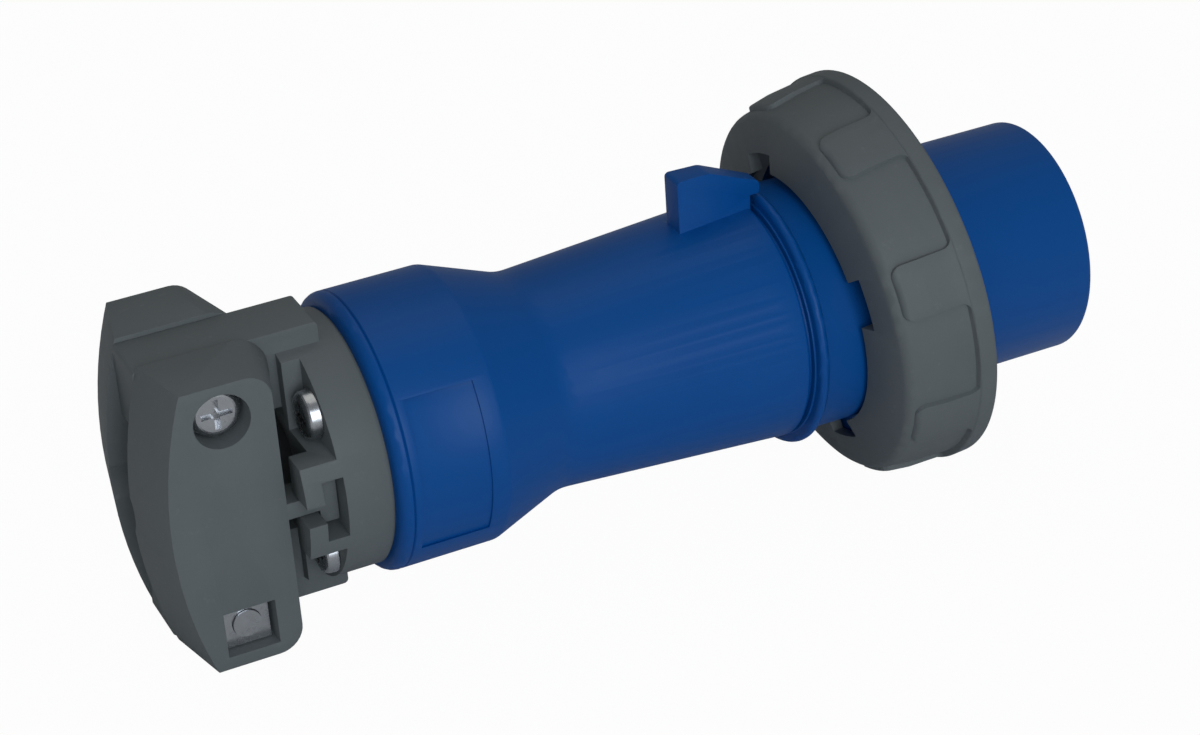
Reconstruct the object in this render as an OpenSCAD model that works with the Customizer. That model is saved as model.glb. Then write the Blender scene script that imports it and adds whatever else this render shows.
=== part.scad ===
// Industrial pin and sleeve plug, two poles and earth.
// The plug axis is X: the sleeve's mouth is at x = 0 and the cord leaves toward -X. The lug is on top (+Z).

/* [Sleeve] */
// Outer diameter of the sleeve that enters the socket
sleeve_d = 43.5; // [43:0.1:44]
// Inner diameter of the sleeve
sleeve_bore_d = 38.8; // [38.4:0.1:39.2]
// Depth from the mouth to the face of the insulator
sleeve_depth = 37; // [35:0.5:38]
// Diameter of the flange that carries the face gasket
flange_d = 55; // [52:0.5:55]
// Diameter of the collar that the locking ring turns on
collar_d = 45.8; // [45:0.1:46]
// Diameter of the bead that keeps the locking ring on
bead_d = 49; // [48:0.1:50]

/* [Contacts] */
// Diameter of the line and neutral pins
pin_d = 5; // [4:0.1:5.5]
// Diameter of the earth pin
earth_pin_d = 7; // [6:0.1:7.5]
// Radius of the circle that the pins stand on
pin_circle_r = 10.8; // [10:0.1:11]
// Distance from the mouth to the tips of the line and neutral pins
pin_setback = 5; // [3:0.5:8]
// Distance from the mouth to the tip of the earth pin
earth_setback = 2; // [1:0.5:3]

/* [Locking ring] */
// Outer diameter of the ring's front band
ring_d = 74.8; // [74:0.1:76]
// Diameter of the hole in the ring's rear wall
ring_hole_d = 48.4; // [48.2:0.1:48.6]
// Inner diameter of the ring's skirt
ring_bore_d = 67.6; // [67:0.1:68]
// Number of raised grips round the ring
grip_count = 8; // [4:4:8]
// Width of one raised grip
grip_w = 10.2; // [8:0.1:12]
// Number of notches in the rear wall's hole, and of the bayonet lugs in line with them
notch_count = 4; // [2:1:4]
// Angle that one notch takes
notch_angle = 20; // [16:1:24]
// Height that the loose ring rides above the plug axis, at its front
ring_lift = 2.7; // [2.6:0.05:2.8]
// Angle that the loose ring leans back by
ring_lean = 5.96; // [5.9:0.01:6]

/* [Handle] */
// Diameter of the handle at the joint with the sleeve
neck_d = 45.3; // [45:0.1:46]
// Diameter of the handle at the waist
waist_d = 40; // [39:0.1:41]
// Diameter of the drum at the rear
drum_d = 50; // [49:0.1:51]
// Wall of the handle
wall = 2.6; // [2.2:0.1:2.8]
// Height of the lug's top above the plug axis
lug_top = 31.6; // [30:0.1:33]

/* [End cap and cord clamp] */
// Diameter of the end cap
cap_d = 45.8; // [45:0.1:46.5]
// Height of the cap's arms above the plug axis
arm_top = 26; // [25:0.1:27]
// Width of the cap's arms
arm_w = 11; // [10.6:0.1:11]
// Distance from the plug axis to the clamp bars' inner faces
bar_inner = 5.6; // [5.6:0.1:5.8]
// Distance from the plug axis to the clamp bars' outer faces
bar_outer = 18.7; // [18:0.1:19]
// Half of a clamp bar's length
bar_half = 26.8; // [26:0.1:27.5]
// Distance from the plug axis to the clamp screws
clamp_screw_z = 20.2; // [20:0.1:20.4]
// Diameter of the clamp screws
clamp_screw_d = 5; // [4:0.5:5]
// Diameter of the cord passage through the end cap
cord_hole_d = 17; // [15:0.5:18]

/* [Hidden] */
$fn = 96;

BLUE = [0.07, 0.27, 0.55];
GREY = [0.48, 0.49, 0.49];
RUBBER = [0.1, 0.1, 0.1];
STEEL = [0.75, 0.75, 0.77];
BRASS = [0.8, 0.66, 0.32];
IVORY = [0.85, 0.84, 0.8];

// Stations along the plug axis
flange_front = -40.5;
collar_front = -43.3;
bead_x = -57.3;
bead_edge_r = 1;
joint_x = -59.3;
spigot_end = -70;
waist_x = -104.7;
drum_front = -118.7;
drum_end = -138.8;
web_front = -128.5;
web_rear = -131.5;
cap_seat = -147.6;
cap_rear = -150.9;
hook_rear = -154.2;
grommet_seat = -142.4;
arm_end = -175.3;
clamp_screw_x = -165.2;

// Radii worked out from the driving dimensions
sleeve_r = sleeve_d / 2;
sleeve_bore_r = sleeve_bore_d / 2;
collar_r = collar_d / 2;
bead_r = bead_d / 2;
ring_r = ring_d / 2;
ring_bore_r = ring_bore_d / 2;
cap_r = cap_d / 2;
drum_r = drum_d / 2;
drum_bore_r = drum_r - 3.1;

// Seal grooves
spigot_r = 19.5;
spigot_bore_r = 16.8;
o_ring_r = 0.75;
spigot_groove_r = 18.2;
spigot_groove_x = -64;
cap_groove_r = drum_bore_r - 2 * o_ring_r;
cap_groove_x = -136.8;

// Places that repeat: the pins' angles round the axis, and the corners of the end cap's screw pattern
LINE_ANGLE = 30;
NEUTRAL_ANGLE = 150;
EARTH_ANGLE = -90;
shoulder = 0.6;
CAP_SCREWS = [[-12.4, 13.2], [12.4, 13.2], [12.4, -13.2], [-12.4, -13.2]];

function unit(v) = v / norm(v);

// Points of an arc of radius r that rounds the corner b between a and c.
function blend(a, b, c, r, n) =
    let (u = unit(a - b),
         w = unit(c - b),
         half = acos(u * w) / 2,
         centre = b + unit(u + w) * r / sin(half),
         from = b + u * r / tan(half) - centre,
         to = b + w * r / tan(half) - centre,
         a0 = atan2(from.y, from.x),
         turn = (atan2(to.y, to.x) - a0 + 540) % 360 - 180)
    [for (i = [0:n]) centre + r * [cos(a0 + turn * i / n), sin(a0 + turn * i / n)]];

// Outline through points [x, y, corner radius]; a radius of 0 keeps a sharp corner.
function outline(points, n = 5) =
    let (last = len(points) - 1,
         at = [for (p = points) [p.x, p.y]])
    [for (i = [0:last])
        each points[i].z == 0 ? [at[i]]
            : blend(at[i == 0 ? last : i - 1], at[i], at[i == last ? 0 : i + 1], points[i].z, n)];

// Solid of revolution about the plug axis, from an outline of [radius, x, corner radius] points.
module turned(points, angle = 360, n = 5) {
    rotate([0, 90, 0]) rotate_extrude(angle = angle) polygon(outline(points, n));
}

// Round bar along the plug axis, from x = a to x = b.
module rod(a, b, r) {
    translate([min(a, b), 0, 0]) rotate([0, 90, 0]) cylinder(h = abs(b - a), r = r);
}

// Box between two corners.
module block(low, high) {
    translate(low) cube(high - low);
}

// The sector of a turned outline that is centred on the -Y side.
module sector(points, angle) {
    rotate([-angle / 2 - 90, 0, 0]) turned(points, angle);
}

// Moves children from the -Y side of the plug round the axis, up over the top.
module round_to(angle) {
    rotate([-angle, 0, 0]) children();
}

// Moves children to a pin's place, where the angle is 0 on +Y and 90 on top.
module at_pin(angle) {
    translate([0, pin_circle_r * cos(angle), pin_circle_r * sin(angle)]) children();
}

/* ---- Sleeve group ---- */

module sleeve() {
    color(BLUE) {
        difference() {
            turned([[sleeve_bore_r, 0, 0.9], [sleeve_r, 0, 0.9], [sleeve_r, flange_front, 0],
                    [flange_d / 2, flange_front, 0.5], [flange_d / 2, collar_front, 0.5],
                    [collar_r, collar_front, 0], [collar_r, bead_x + bead_edge_r, 0],
                    [bead_r, bead_x + bead_edge_r, bead_edge_r - 0.01],
                    [bead_r, bead_x - bead_edge_r, bead_edge_r - 0.01],
                    [collar_r - 0.3, bead_x - bead_edge_r, 0], [collar_r - 0.3, joint_x + 0.7, 0],
                    [collar_r - 1.5, joint_x + 0.7, 0], [collar_r - 1.5, joint_x, 0],
                    [spigot_r, joint_x, 0], [spigot_r, spigot_end, 0.5],
                    [spigot_bore_r, spigot_end, 0], [spigot_bore_r, -55, 0], [sleeve_bore_r, -55, 0]]);
            turned([[spigot_groove_r, spigot_groove_x - 1, 0], [spigot_r + 1, spigot_groove_x - 1, 0],
                    [spigot_r + 1, spigot_groove_x + 1, 0], [spigot_groove_r, spigot_groove_x + 1, 0]]);
        }
        sleeve_key();
    }
}

// The key that fits the socket's keyway, below the earth pin.
module sleeve_key() {
    key_w = 6.4;
    key_h = 2.2;
    intersection() {
        block([flange_front - 1, -key_w / 2, -sleeve_r - key_h], [0, key_w / 2, -sleeve_r + 0.5]);
        turned([[sleeve_r - 0.8, flange_front - 1, 0], [sleeve_r + key_h, flange_front - 1, 0],
                [sleeve_r + key_h, -1, 1.5], [sleeve_r - 0.8, -1, 0]]);
    }
}

module face_gasket() {
    gasket_w = 3;
    key_gap_w = 6.6;
    color(RUBBER)
    difference() {
        turned([[sleeve_r, flange_front, 0], [26.5, flange_front, 0],
                [26.5, flange_front + gasket_w, 0.8], [sleeve_r, flange_front + gasket_w, 0]]);
        block([flange_front - 1, -key_gap_w / 2, -sleeve_r - 2.4],
              [flange_front + gasket_w + 1, key_gap_w / 2, -sleeve_r + 1]);
    }
}

module o_ring(x, inner_r) {
    color(RUBBER)
    translate([x, 0, 0]) rotate([0, 90, 0])
    rotate_extrude() translate([inner_r + o_ring_r, 0]) circle(r = o_ring_r, $fn = 32);
}

module housing_o_ring() {
    o_ring(spigot_groove_x, spigot_groove_r);
}

module contact_carrier() {
    carrier_end = -62;
    color(IVORY)
    difference() {
        union() {
            rod(-sleeve_depth, -55, sleeve_bore_r);
            rod(-55, carrier_end, spigot_bore_r);
        }
        for (angle = [LINE_ANGLE, NEUTRAL_ANGLE])
            at_pin(angle) rod(-sleeve_depth + 1, carrier_end - 1, pin_d / 2 + shoulder);
        at_pin(EARTH_ANGLE) rod(-sleeve_depth + 1, carrier_end - 1, earth_pin_d / 2 + shoulder);
    }
}

// A contact: the round pin, its thicker shank in the insulator, and the barrel for the wire.
module contact(tip, r, angle) {
    barrel_r = 4.5;
    barrel_front = -62;
    barrel_rear = -77;
    color(BRASS)
    difference() {
        at_pin(angle)
        difference() {
            union() {
                turned([[0, tip, 0], [r, tip, r * 0.6], [r, -sleeve_depth, 0],
                        [r + shoulder, -sleeve_depth, 0], [r + shoulder, barrel_front, 0],
                        [0, barrel_front, 0]]);
                rod(barrel_front, barrel_rear, barrel_r);
            }
            rod(barrel_rear + 11, barrel_rear - 1, 2.3);
        }
        terminal_axis(angle) cylinder(h = 9, r = 2);
    }
}

// Puts the foot of a radial terminal screw on its pin's axis.
module terminal_axis(angle) {
    rotate([angle - 90, 0, 0]) translate([-72.5, 0, pin_circle_r]) children();
}

module terminal_screw(angle) {
    color(STEEL) terminal_axis(angle) translate([0, 0, 2]) difference() {
        cylinder(h = 4, r = 2);
        translate([0, 0, 3]) cube([5, 0.8, 2.1], center = true);
    }
}

module line_pin() {
    contact(-pin_setback, pin_d / 2, LINE_ANGLE);
}

module neutral_pin() {
    contact(-pin_setback, pin_d / 2, NEUTRAL_ANGLE);
}

module earth_pin() {
    contact(-earth_setback, earth_pin_d / 2, EARTH_ANGLE);
}

/* ---- Locking ring ---- */

band_x = -3.6;
grip_end = -15.5;
rear_wall_x = -16.6;
lip_x = -18.9;
notch_offset = 21.5;
notch_r = 27.6;
grip_offset = 23.3;

module locking_ring() {
    color(GREY)
    translate([-30.36, 0, ring_lift]) rotate([0, -ring_lean, 0])
    difference() {
        union() {
            ring_shell();
            intersection() {
                grip_surface();
                for (i = [0:grip_count - 1])
                    round_to(grip_offset + i * 360 / grip_count) grip_prism();
            }
            for (i = [0:notch_count - 1])
                round_to(notch_offset + i * 360 / notch_count) bayonet_lug();
        }
        for (i = [0:notch_count - 1])
            round_to(notch_offset + i * 360 / notch_count)
            sector([[ring_hole_d / 2 - 2, lip_x - 1, 0], [notch_r, lip_x - 1, 0],
                    [notch_r, rear_wall_x + 1, 0], [ring_hole_d / 2 - 2, rear_wall_x + 1, 0]], notch_angle);
    }
}

// The ring as it is between the grips: front band, tapering skirt, round shoulder and flat rear wall.
module ring_shell() {
    turned([[ring_bore_r, 0, 0.5], [ring_r, 0, 0.7], [ring_r, band_x, 0.5], [ring_r - 1.15, band_x - 0.3, 0],
            [ring_r - 1.7, -9.5, 0], [35.1, -13.2, 0], [34.5, -16.9, 2.4],
            [ring_hole_d / 2, lip_x, 0], [ring_hole_d / 2, rear_wall_x, 0],
            [ring_bore_r, rear_wall_x + 1, 2.2]]);
}

// The skin of all the grips, before it is cut into single grips.
module grip_surface() {
    turned([[34.2, -2, 0], [ring_r - 0.2, -2, 0], [ring_r - 0.2, band_x, 0], [ring_r - 0.5, -4.6, 0],
            [ring_r - 0.9, -10.5, 6], [35.6, grip_end, 1.2], [34, grip_end, 0]]);
}

// Radial prism with a grip's outline: hollow fillets into the band, round corners at the rear.
module grip_prism() {
    half = grip_w / 2;
    fillet = 1.7;
    rotate([90, 0, 0]) linear_extrude(height = ring_r + 2)
    polygon(outline([[-1, half + 4, 0], [band_x, half + 4, 0], [band_x, half, fillet],
                     [grip_end, half, 2], [grip_end, -half, 2],
                     [band_x, -half, fillet], [band_x, -half - 4, 0], [-1, -half - 4, 0]]));
}

module bayonet_lug() {
    sector([[29.5, -2, 0.8], [ring_bore_r + 0.3, -2, 0], [ring_bore_r + 0.3, -8.5, 0], [29.5, -8.5, 0.8]],
           notch_angle - 2);
}

/* ---- Handle ---- */

module handle_housing() {
    color(BLUE)
    difference() {
        union() {
            difference() {
                union() {
                    handle_skin();
                    lug();
                }
                handle_cavity();
                label_panel();
            }
            for (p = CAP_SCREWS)
                translate([0, p.x, p.y]) rod(web_front + 1, -120, 3.9);
        }
        for (p = CAP_SCREWS)
            translate([0, p.x, p.y]) rod(web_rear - 1, -123.5, 2.9);
    }
}

// Outside of the handle: straight tapering neck, waist, cone and drum with a grooved rear band.
module handle_skin() {
    band_groove_x = -136.2;
    difference() {
        turned([[0, joint_x, 0], [neck_d / 2, joint_x, 0.6], [waist_d / 2 - 0.2, waist_x, 10],
                [drum_r, drum_front, 3], [drum_r, drum_end, 2.2], [0, drum_end, 0]]);
        turned([[drum_r - 0.4, band_groove_x, 0], [drum_r + 1, band_groove_x - 0.9, 0],
                [drum_r + 1, band_groove_x + 0.9, 0]]);
    }
}

module handle_cavity() {
    waist_bore_r = waist_d / 2 - wall;
    turned([[0, joint_x + 1, 0], [spigot_r + 0.2, joint_x + 1, 0], [spigot_r + 0.2, spigot_end - 1, 0],
            [neck_d / 2 - wall - 1, spigot_end - 3, 0], [waist_bore_r, waist_x, 0],
            [drum_bore_r, drum_front, 0], [drum_bore_r, web_front, 0], [0, web_front, 0]]);
    rod(web_front + 1, web_rear - 1, 9);
    rod(web_rear, drum_end - 1, drum_bore_r);
}

// Bare recessed panel on the camera-facing side of the drum.
module label_panel() {
    intersection() {
        turned([[drum_r - 0.4, -122, 0], [drum_r + 1, -122, 0], [drum_r + 1, -134.6, 0],
                [drum_r - 0.4, -134.6, 0]]);
        block([-140, -drum_r - 1, -13], [-118, -10, 15.3]);
    }
}

// Tapering lug on top of the neck. It reaches forward over the bead and stands clear of it.
module lug() {
    lug_rear = -73.8;
    lug_front = -57.3;
    intersection() {
        rotate([90, 0, 0]) translate([0, 0, -5]) linear_extrude(height = 10)
        polygon(outline([[lug_rear, 15, 0], [lug_rear, lug_top, 0.8], [-67.5, lug_top, 3],
                         [lug_front, lug_top - 4.3, 1], [lug_front, 25, 0.5], [joint_x, 25, 0],
                         [joint_x, 15, 0]]));
        translate([0, 0, 10]) linear_extrude(height = 25)
        polygon([[lug_rear, -2.5], [lug_front, -1.7], [lug_front, 1.7], [lug_rear, 2.5]]);
    }
}

/* ---- End cap and its seals ---- */

module cap_o_ring() {
    o_ring(cap_groove_x, cap_groove_r);
}

module gland_washer() {
    color(IVORY)
    difference() {
        rod(web_rear, web_rear - 1.5, 12);
        rod(web_rear + 1, web_rear - 3, 7);
    }
}

module cord_grommet() {
    color(RUBBER)
    difference() {
        rod(web_rear - 1.5, grommet_seat, 12);
        rod(web_rear, grommet_seat - 1, 6);
    }
}

module end_cap() {
    color(GREY)
    difference() {
        union() {
            cap_body();
            for (turn = [0, 180])
                rotate([turn, 0, 0]) cap_arm();
        }
        rod(web_rear + 1, grommet_seat, 12);
        rod(grommet_seat + 1, cap_rear - 1, cord_hole_d / 2);
        turned([[cap_groove_r, cap_groove_x - 0.9, 0], [drum_r, cap_groove_x - 0.9, 0],
                [drum_r, cap_groove_x + 0.9, 0], [cap_groove_r, cap_groove_x + 0.9, 0]]);
        for (p = CAP_SCREWS)
            translate([0, p.x, p.y]) rod(web_rear + 1, cap_rear - 1, 2.2);
        for (side = [-1, 1])
            translate([clamp_screw_x, 0, side * clamp_screw_z]) rotate([90, 0, 0])
            cylinder(h = arm_w + 2, r = clamp_screw_d / 2 + 0.4, center = true);
        for (turn = [0, 180])
            rotate([turn, 0, 0]) tongue_slot();
    }
}

// Spigot, round flange, and the rear body. The rear body is cut back to the four screw seats, and
// behind its middle only the two pairs of hooks stay.
module cap_body() {
    side_y = 8;
    side_z = 8.7;
    hook_y = 16;
    difference() {
        turned([[0, web_rear, 0], [drum_bore_r - 0.15, web_rear, 0.6], [drum_bore_r - 0.15, drum_end, 0],
                [cap_r - 0.5, drum_end, 0], [cap_r - 0.5, drum_end - 0.5, 0], [cap_r, drum_end - 0.5, 0],
                [cap_r, hook_rear, 0], [0, hook_rear, 0]]);
        block([hook_rear - 1, -hook_y, -cap_d], [cap_rear, hook_y, cap_d]);
        for (turn = [0, 180])
            rotate([turn, 0, 0]) {
                block([hook_rear - 1, -cap_d, side_z], [cap_rear, cap_d, cap_d]);
                block([hook_rear - 1, side_y, side_z], [cap_seat, cap_d, cap_d]);
                block([hook_rear - 1, -cap_d, side_z], [cap_seat, -side_y, cap_d]);
            }
    }
}

// One of the two arms that the clamp bars close on.
module cap_arm() {
    arm_bottom = 12;
    rotate([90, 0, 0]) translate([0, 0, -arm_w / 2]) linear_extrude(height = arm_w)
    polygon(outline([[-143, arm_bottom, 0], [-143, arm_top, 0.8],
                     [arm_end, arm_top, 0.8], [arm_end, arm_bottom, 0.8]]));
}

// T-shaped slot on the -Y side, open outward.
module tongue_slot() {
    block([-151, -cap_r - 1, -5.7], [-147.2, -11.5, 5.7]);
    block([hook_rear - 1, -cap_r - 1, -1.8], [-150, -11.5, 1.8]);
}

module cap_insert(i) {
    color(BRASS)
    translate([0, CAP_SCREWS[i].x, CAP_SCREWS[i].y])
    difference() {
        rod(web_rear, -123.5, 2.9);
        rod(web_rear - 1, -122, 2);
    }
}

// Pan head screw along the plug axis, with its seat at x = 0 and its shank toward +X.
module pan_screw(shank_r, length, head_r, head_h) {
    color(STEEL)
    difference() {
        union() {
            turned([[0, 0, 0], [head_r, 0, 0.2], [head_r - 0.2, -head_h, 1.2], [0, -head_h, 0]]);
            rod(-0.5, length, shank_r);
        }
        for (turn = [0, 90])
            rotate([turn, 0, 0]) translate([-head_h, 0, 0]) cube([3, head_r * 1.2, 1], center = true);
    }
}

module cap_screw(i) {
    translate([cap_seat, CAP_SCREWS[i].x, CAP_SCREWS[i].y]) pan_screw(2, 22, 4.4, 2.6);
}

/* ---- Cord clamp: two equal bars, each with its own screw and the other one's nut ---- */

counterbore_floor = 13.2;
nut_floor = 13.1;
nut_h = 3.2;

// Outline of a bar: straight toward the cap with round corners, bowed toward the cord.
module bar_outline(front, bow_r, corner_r) {
    bow_centre = -96.4;
    intersection() {
        polygon(outline([[front, -bar_half, corner_r], [front, bar_half, corner_r],
                         [-181, bar_half, 0], [-181, -bar_half, 0]], 8));
        translate([bow_centre, 0]) circle(r = bow_r, $fn = 160);
    }
}

// A bar on the -Y side. Its long sides slope, so that its outer face is the smaller one.
module clamp_bar() {
    skin = 0.01;
    color(GREY)
    difference() {
        union() {
            rotate([90, 0, 0]) hull() {
                translate([0, 0, bar_inner]) linear_extrude(height = skin) bar_outline(-152.4, 82.6, 6);
                translate([0, 0, bar_outer - skin]) linear_extrude(height = skin) bar_outline(-156.3, 80, 4.5);
            }
            tongue();
            saddle();
        }
        rod(-150, -182, 6.5);
        translate([clamp_screw_x, 0, clamp_screw_z]) rotate([90, 0, 0]) {
            cylinder(h = 30, r = clamp_screw_d / 2 + 0.25);
            translate([0, 0, counterbore_floor]) cylinder(h = 10, r = 4.92);
        }
        translate([clamp_screw_x, 0, -clamp_screw_z]) rotate([90, 0, 0])
        cylinder(h = 30, r = clamp_screw_d / 2 + 0.25);
        block([clamp_screw_x - 4.5, -25, -clamp_screw_z - 4.3], [clamp_screw_x + 4.7, -nut_floor, -clamp_screw_z + 4.3]);
    }
}

// T-shaped tongue that slides in the cap's slot.
module tongue() {
    block([-158, -bar_outer, -1.5], [-148.5, -12.5, 1.5]);
    block([-150.7, -bar_outer, -4], [-147.5, -12.5, 4]);
}

// Block inside the bar that presses on the cord.
module saddle() {
    block([-174, -bar_inner - 1, -11], [-157, -3, 11]);
}

// The screw of the bar on the -Y side, driven in toward +Y.
module clamp_screw() {
    translate([clamp_screw_x, -counterbore_floor, clamp_screw_z]) rotate([0, 0, 90])
    pan_screw(clamp_screw_d / 2, counterbore_floor + nut_floor + nut_h + 0.5, 4.5, 2.8);
}

// The square nut that sits in the pocket of the bar on the -Y side.
module clamp_nut() {
    color(STEEL)
    translate([clamp_screw_x, -nut_floor, -clamp_screw_z]) rotate([90, 0, 0])
    difference() {
        translate([-4, -4, 0]) cube([8, 8, nut_h]);
        translate([0, 0, -1]) cylinder(h = nut_h + 2, r = clamp_screw_d / 2 + 0.1);
    }
}

sleeve();
face_gasket();
housing_o_ring();
contact_carrier();
line_pin();
neutral_pin();
earth_pin();
terminal_screw(LINE_ANGLE);  // line_terminal_screw
terminal_screw(NEUTRAL_ANGLE);  // neutral_terminal_screw
terminal_screw(EARTH_ANGLE);  // earth_terminal_screw
locking_ring();
handle_housing();
cap_o_ring();
gland_washer();
cord_grommet();
end_cap();
cap_insert(0);  // cap_insert_1
cap_insert(1);  // cap_insert_2
cap_insert(2);  // cap_insert_3
cap_insert(3);  // cap_insert_4
cap_screw(0);  // cap_screw_1
cap_screw(1);  // cap_screw_2
cap_screw(2);  // cap_screw_3
cap_screw(3);  // cap_screw_4
clamp_bar();  // front_clamp_bar
clamp_screw();  // front_clamp_screw
rotate([180, 0, 0]) clamp_nut();  // front_clamp_nut
rotate([180, 0, 0]) clamp_bar();  // rear_clamp_bar
rotate([180, 0, 0]) clamp_screw();  // rear_clamp_screw
clamp_nut();  // rear_clamp_nut
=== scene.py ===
import math

import bpy
from mathutils import Matrix, Vector


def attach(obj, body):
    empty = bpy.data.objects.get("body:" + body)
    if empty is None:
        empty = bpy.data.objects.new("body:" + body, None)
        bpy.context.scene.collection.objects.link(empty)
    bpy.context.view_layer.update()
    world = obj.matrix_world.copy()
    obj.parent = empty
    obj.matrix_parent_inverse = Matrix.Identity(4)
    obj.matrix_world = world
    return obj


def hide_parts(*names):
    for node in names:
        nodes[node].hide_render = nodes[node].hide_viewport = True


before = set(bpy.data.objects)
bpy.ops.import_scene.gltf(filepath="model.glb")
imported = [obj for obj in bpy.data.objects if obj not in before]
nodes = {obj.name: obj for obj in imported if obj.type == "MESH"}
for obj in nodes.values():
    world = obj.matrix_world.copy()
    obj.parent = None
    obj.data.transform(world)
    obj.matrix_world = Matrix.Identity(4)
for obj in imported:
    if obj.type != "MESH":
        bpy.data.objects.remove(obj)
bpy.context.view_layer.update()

# ---------------------------------------------------------------- Camera
# The plug lies on its locking ring and on the lower ends of its clamp bars, so its mouth points up a little.
# The camera looks down on it from behind the cord end, upright over the floor.
REST_TILT = math.radians(3.9)
FLOOR_UP = Vector((math.sin(REST_TILT), 0, math.cos(REST_TILT)))
EYE = Vector((-0.2805, -0.4291, 0.2646))
EYE_ELEVATION = math.radians(29.56)
EYE_AZIMUTH = math.radians(-23.96)

backward = Vector((math.sin(EYE_AZIMUTH) * math.cos(EYE_ELEVATION),
                   -math.cos(EYE_AZIMUTH) * math.cos(EYE_ELEVATION),
                   math.sin(EYE_ELEVATION)))
rightward = FLOOR_UP.cross(backward).normalized()
upward = backward.cross(rightward)
camera_data = bpy.data.cameras.new("camera")
camera_data.lens = 90.84
camera_data.sensor_width = 36
camera_data.clip_start = 0.01
camera = bpy.data.objects.new("camera", camera_data)
bpy.context.collection.objects.link(camera)
camera.matrix_world = Matrix.Translation(EYE) @ Matrix((rightward, upward, backward)).transposed().to_4x4()
bpy.context.scene.camera = camera


# ---------------------------------------------------------------- Sleeve
# A blue polyamide tube that enters the socket, with the collar for the locking ring and a rolled bead
# behind it. It is moulded in one shot and has a low gloss with fine handling marks.
class Wire:
    """A shader socket that can be used in sums."""

    def __init__(self, recipe, socket):
        self.recipe = recipe
        self.socket = socket

    def maths(self, operation, first, second):
        return self.recipe.node("ShaderNodeMath", {"operation": operation}, {0: first, 1: second})

    def __add__(self, other):
        return self.maths("ADD", self, other)

    def __radd__(self, other):
        return self.maths("ADD", other, self)

    def __sub__(self, other):
        return self.maths("SUBTRACT", self, other)

    def __rsub__(self, other):
        return self.maths("SUBTRACT", other, self)

    def __mul__(self, other):
        return self.maths("MULTIPLY", self, other)

    def __rmul__(self, other):
        return self.maths("MULTIPLY", other, self)

    def __pow__(self, other):
        return self.maths("POWER", self, other)


class Finish:
    """A material in the making: its nodes, its object coordinates and its surface."""

    def __init__(self, name):
        self.material = bpy.data.materials.new(name)
        self.material.use_nodes = True
        self.tree = self.material.node_tree
        self.tree.nodes.clear()
        self.output = self.tree.nodes.new("ShaderNodeOutputMaterial")
        self.place = self.node("ShaderNodeTexCoord", {}, {}, "Object")

    def node(self, kind, settings, inputs, output=0):
        made = self.tree.nodes.new(kind)
        for key, value in settings.items():
            if key == "stops":
                for stop, (at, colour) in zip(made.color_ramp.elements, value):
                    stop.position = at
                    stop.color = colour
            else:
                setattr(made, key, value)
        for key, value in inputs.items():
            if isinstance(value, Wire):
                self.tree.links.new(value.socket, made.inputs[key])
            else:
                made.inputs[key].default_value = value
        return Wire(self, made.outputs[output])

    def noise(self, size, detail=2.0, roughness=0.5, stretch=(1, 1, 1)):
        """Noise from 0 to 1 with features of about this size in metres."""
        spread = self.node("ShaderNodeMapping", {}, {"Vector": self.place, "Scale": stretch})
        return self.node("ShaderNodeTexNoise", {}, {"Vector": spread, "Scale": 1 / size, "Detail": detail,
                                                    "Roughness": roughness})

    def step(self, value, low, high):
        """Rises from 0 at low to 1 at high."""
        return self.node("ShaderNodeMapRange", {"interpolation_type": "SMOOTHSTEP"},
                         {"Value": value, "From Min": low, "From Max": high})

    def blend(self, factor, colour_a, colour_b):
        mixed = self.tree.nodes.new("ShaderNodeMix")
        mixed.data_type = "RGBA"
        for at, value in ((0, factor), (6, colour_a), (7, colour_b)):
            if isinstance(value, Wire):
                self.tree.links.new(value.socket, mixed.inputs[at])
            else:
                mixed.inputs[at].default_value = value
        return Wire(self, mixed.outputs[2])

    def surface(self, height=None, depth=0.0, **inputs):
        if height is not None:
            inputs["Normal"] = self.node("ShaderNodeBump", {}, {"Height": height, "Distance": depth, "Strength": 1.0})
        named = {key.replace("_", " "): value for key, value in inputs.items()}
        shader = self.node("ShaderNodeBsdfPrincipled", {}, named)
        self.tree.links.new(shader.socket, self.output.inputs["Surface"])
        return self.material


def blue_moulding(name):
    """Blue polyamide with a faint mottle, fine handling scuffs and a soft grain."""
    finish = Finish(name)
    mottle = finish.noise(0.03, 3.0)
    scuffs = finish.step(finish.noise(0.0016, 3.0, 0.6, (0.15, 1, 1)), 0.62, 0.78)
    grain = finish.noise(0.0005, 2.0)
    colour = finish.blend(mottle, (0.0006, 0.070, 0.285, 1), (0.0012, 0.082, 0.325, 1))
    colour = finish.blend(scuffs * 0.12, colour, (0.02, 0.11, 0.33, 1))
    return finish.surface(height=grain + scuffs * 0.5, depth=0.00001, Base_Color=colour,
                          Roughness=0.36 + mottle * 0.06 + scuffs * 0.12, IOR=1.5,
                          Specular_IOR_Level=0.2)


def dress(node, material):
    """Gives a CAD node's object its material."""
    slots = nodes[node].material_slots
    for place in slots:
        place.material = material


def only(piece):
    """Makes a piece the one selected and active object."""
    if bpy.context.object and bpy.context.object.mode != "OBJECT":
        bpy.ops.object.mode_set(mode="OBJECT")
    bpy.ops.object.select_all(action="DESELECT")
    piece.select_set(True)
    bpy.context.view_layer.objects.active = piece


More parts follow.
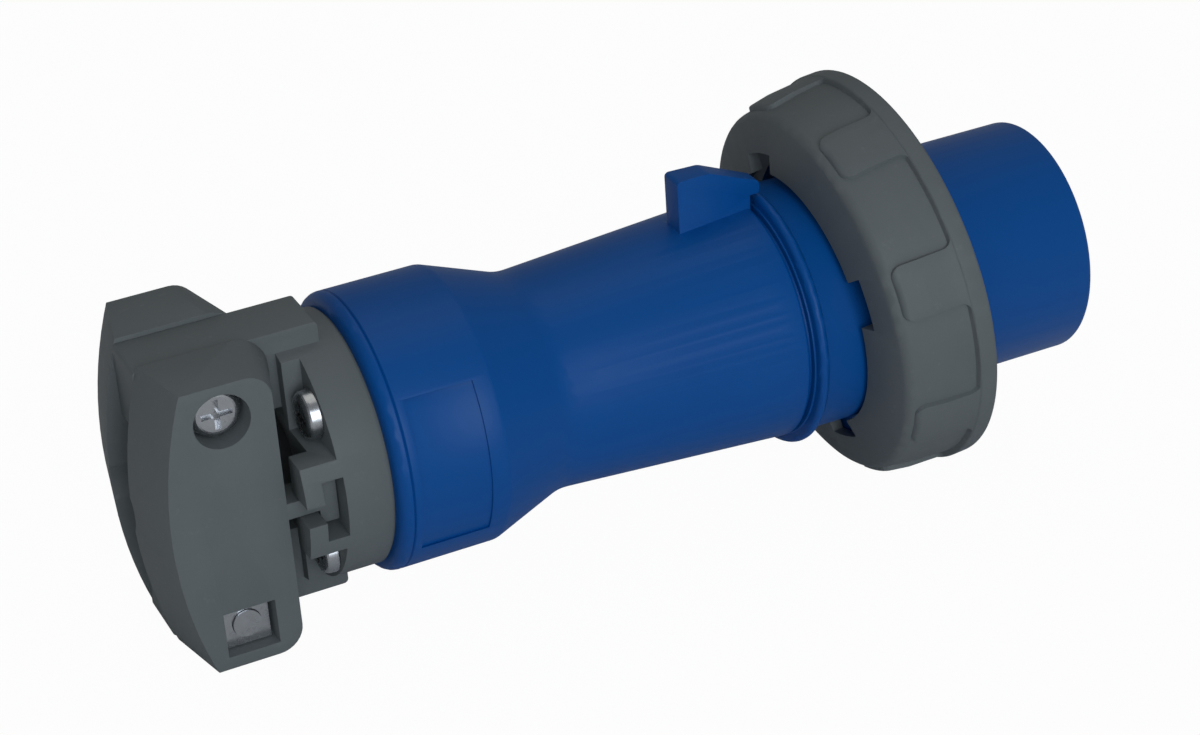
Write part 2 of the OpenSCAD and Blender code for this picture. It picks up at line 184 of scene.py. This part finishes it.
def moulded(node, name, edge, body, material, segments=3, sharp=30):
    """The skin of a CAD node as it leaves the mould: its edges rounded, its round faces smooth."""
    piece = nodes[node].copy()
    piece.data = nodes[node].data.copy()
    piece.name = name
    piece.parent = None
    piece.matrix_world = Matrix.Identity(4)
    bpy.context.collection.objects.link(piece)
    only(piece)
    bpy.ops.object.mode_set(mode="EDIT")
    bpy.ops.mesh.select_all(action="SELECT")
    bpy.ops.mesh.remove_doubles(threshold=0.000002)
    bpy.ops.mesh.dissolve_limited(angle_limit=math.radians(0.6))
    bpy.ops.object.mode_set(mode="OBJECT")
    if edge:
        rounding = piece.modifiers.new("edges", "BEVEL")
        rounding.width = edge
        rounding.segments = segments
        rounding.limit_method = "ANGLE"
        rounding.angle_limit = math.radians(sharp)
        rounding.miter_outer = "MITER_ARC"
        rounding.use_clamp_overlap = True
        bpy.ops.object.modifier_apply(modifier="edges")
    bpy.ops.object.shade_smooth_by_angle(angle=math.radians(sharp))
    piece.data.materials.clear()
    piece.data.materials.append(material)
    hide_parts(node)
    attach(piece, body)
    return piece


BLUE = blue_moulding("blue_moulding")
moulded("sleeve", "sleeve_tube", 0.0002, "frame", BLUE)


# ---------------------------------------------------------------- Seals
# Black rubber rings: the face gasket in front of the flange, the O-rings, and the grommet for the cord.
def rubber():
    finish = Finish("seal_rubber")
    bloom = finish.noise(0.004, 3.0)
    colour = finish.blend(bloom, (0.012, 0.012, 0.012, 1), (0.03, 0.03, 0.029, 1))
    return finish.surface(height=finish.noise(0.0004), depth=0.00001, Base_Color=colour,
                          Roughness=0.6 + bloom * 0.15)


RUBBER = rubber()
for seal in ("face_gasket", "housing_o_ring", "cap_o_ring", "cord_grommet"):
    dress(seal, RUBBER)


# ---------------------------------------------------------------- Insulator and gland washer
# The contact carrier and the washer are ivory thermoset, pressed and slightly speckled.
def thermoset():
    finish = Finish("ivory_thermoset")
    speckle = finish.step(finish.noise(0.0012, 4.0), 0.55, 0.7)
    colour = finish.blend(speckle, (0.66, 0.63, 0.55, 1), (0.56, 0.53, 0.45, 1))
    return finish.surface(height=finish.noise(0.0006), depth=0.00001, Base_Color=colour,
                          Roughness=0.42 + speckle * 0.1)


IVORY = thermoset()
for insulator in ("contact_carrier", "gland_washer"):
    dress(insulator, IVORY)


# ---------------------------------------------------------------- Contacts
# Turned brass pins and inserts. Turning leaves fine rings across the axis.
def turned_brass():
    finish = Finish("turned_brass")
    rings = finish.noise(0.0003, 2.0, 0.5, (1, 0.05, 0.05))
    tarnish = finish.noise(0.006, 3.0)
    colour = finish.blend(tarnish, (0.78, 0.60, 0.30, 1), (0.66, 0.48, 0.22, 1))
    return finish.surface(height=rings, depth=0.000008, Base_Color=colour, Metallic=1.0,
                          Roughness=0.22 + tarnish * 0.14)


BRASS = turned_brass()
for contact in ("line_pin", "neutral_pin", "earth_pin", "cap_insert_1", "cap_insert_2", "cap_insert_3",
                "cap_insert_4"):
    dress(contact, BRASS)


# ---------------------------------------------------------------- Locking ring
# A grey polyamide bayonet ring, matt from a spark-eroded mould, with eight soft-edged grips.
def grey_moulding(name):
    """Grey polyamide with an eroded mould's fine matt grain and faint flow clouds."""
    finish = Finish(name)
    clouds = finish.noise(0.02, 4.0, 0.6)
    grain = finish.noise(0.00045, 3.0, 0.6)
    rub = finish.step(finish.noise(0.0022, 4.0, 0.65), 0.60, 0.75)
    colour = finish.blend(clouds, (0.112, 0.127, 0.130, 1), (0.140, 0.156, 0.158, 1))
    colour = finish.blend(rub * 0.22, colour, (0.19, 0.20, 0.20, 1))
    return finish.surface(height=grain, depth=0.00003, Base_Color=colour,
                          Roughness=0.52 + clouds * 0.08 - rub * 0.08, IOR=1.5,
                          Specular_IOR_Level=0.3)


GREY = grey_moulding("grey_moulding")
moulded("locking_ring", "bayonet_ring", 0.0006, "ring", GREY)

# ---------------------------------------------------------------- Handle
# The blue grip, moulded in one piece: neck, waist, cone and drum, with the lug on top.
moulded("handle_housing", "grip_handle", 0.0004, "frame", BLUE)

# ---------------------------------------------------------------- End cap
# The grey cover of the drum, with the arms for the clamp and the hooked slots for the bars' tongues.
moulded("end_cap", "drum_cap", 0.0004, "frame", GREY)

# ---------------------------------------------------------------- Clamp bars
# Two equal grey bars that close on the cord, each held by a screw at one end.
moulded("front_clamp_bar", "cord_bar_front", 0.0007, "front_bar", GREY, sharp=25)
moulded("rear_clamp_bar", "cord_bar_rear", 0.0007, "rear_bar", GREY, sharp=25)


# ---------------------------------------------------------------- Screws and nuts
# Zinc-plated steel: pan head screws, square nuts and terminal screws.
def plated_steel():
    finish = Finish("plated_steel")
    haze = finish.noise(0.0015, 4.0)
    colour = finish.blend(haze, (0.62, 0.63, 0.65, 1), (0.46, 0.47, 0.49, 1))
    return finish.surface(height=finish.noise(0.0003), depth=0.000006, Base_Color=colour, Metallic=1.0,
                          Roughness=0.18 + haze * 0.16)


STEEL = plated_steel()
for part in ("cap_screw_1", "cap_screw_2", "cap_screw_3", "cap_screw_4", "front_clamp_screw",
             "rear_clamp_screw", "front_clamp_nut", "rear_clamp_nut", "line_terminal_screw",
             "neutral_terminal_screw", "earth_terminal_screw"):
    dress(part, STEEL)

# ---------------------------------------------------------------- Floor and light
# A pale floor that touches the ring and the bars' ends, one broad lamp from the camera's side, and a weak
# even sky.
floor_height = min(FLOOR_UP.dot(vertex.co) for node in nodes.values() for vertex in node.data.vertices)
bpy.ops.object.select_all(action="DESELECT")
bpy.ops.mesh.primitive_plane_add(size=6, location=FLOOR_UP * floor_height, rotation=(0, REST_TILT, 0))
floor = bpy.context.object
floor.name = "floor"
paper = Finish("pale_paper")
lit = paper.node("ShaderNodeBsdfDiffuse", {}, {"Color": (0.8, 0.8, 0.8, 1)}, "BSDF")
glow = paper.node("ShaderNodeEmission", {}, {"Color": (1, 1, 1, 1), "Strength": 1.0})
seen = paper.node("ShaderNodeLightPath", {}, {}, "Is Camera Ray")
shown = paper.node("ShaderNodeMixShader", {}, {0: seen * 0.97, 1: lit, 2: glow})
paper.tree.links.new(shown.socket, paper.output.inputs["Surface"])
floor.data.materials.append(paper.material)

world = bpy.data.worlds.new("studio")
bpy.context.scene.world = world
world.use_nodes = True
sky = world.node_tree
background = sky.nodes["Background"]
background.inputs["Color"].default_value = (0.9, 0.95, 1.0, 1)
background.inputs["Strength"].default_value = 0.24


def lamp(name, towards, distance, size, power, colour):
    """A square area lamp that shines on the middle of the plug."""
    middle = Vector((-0.09, 0, 0))
    data = bpy.data.lights.new(name, "AREA")
    data.shape = "SQUARE"
    data.size = size
    data.energy = power
    data.color = colour
    made = bpy.data.objects.new(name, data)
    bpy.context.collection.objects.link(made)
    made.location = middle + Vector(towards).normalized() * distance
    made.rotation_euler = Vector(towards).to_track_quat("Z", "Y").to_euler()
    return made


lamp("window", (-0.1, -1.0, 0.35), 1.4, 1.0, 9.5, (0.86, 0.93, 1.0))
lamp("ceiling", (0.1, 0.2, 1.0), 1.5, 1.2, 2.4, (1.0, 0.97, 0.9))

bpy.context.scene.view_settings.view_transform = "Standard"
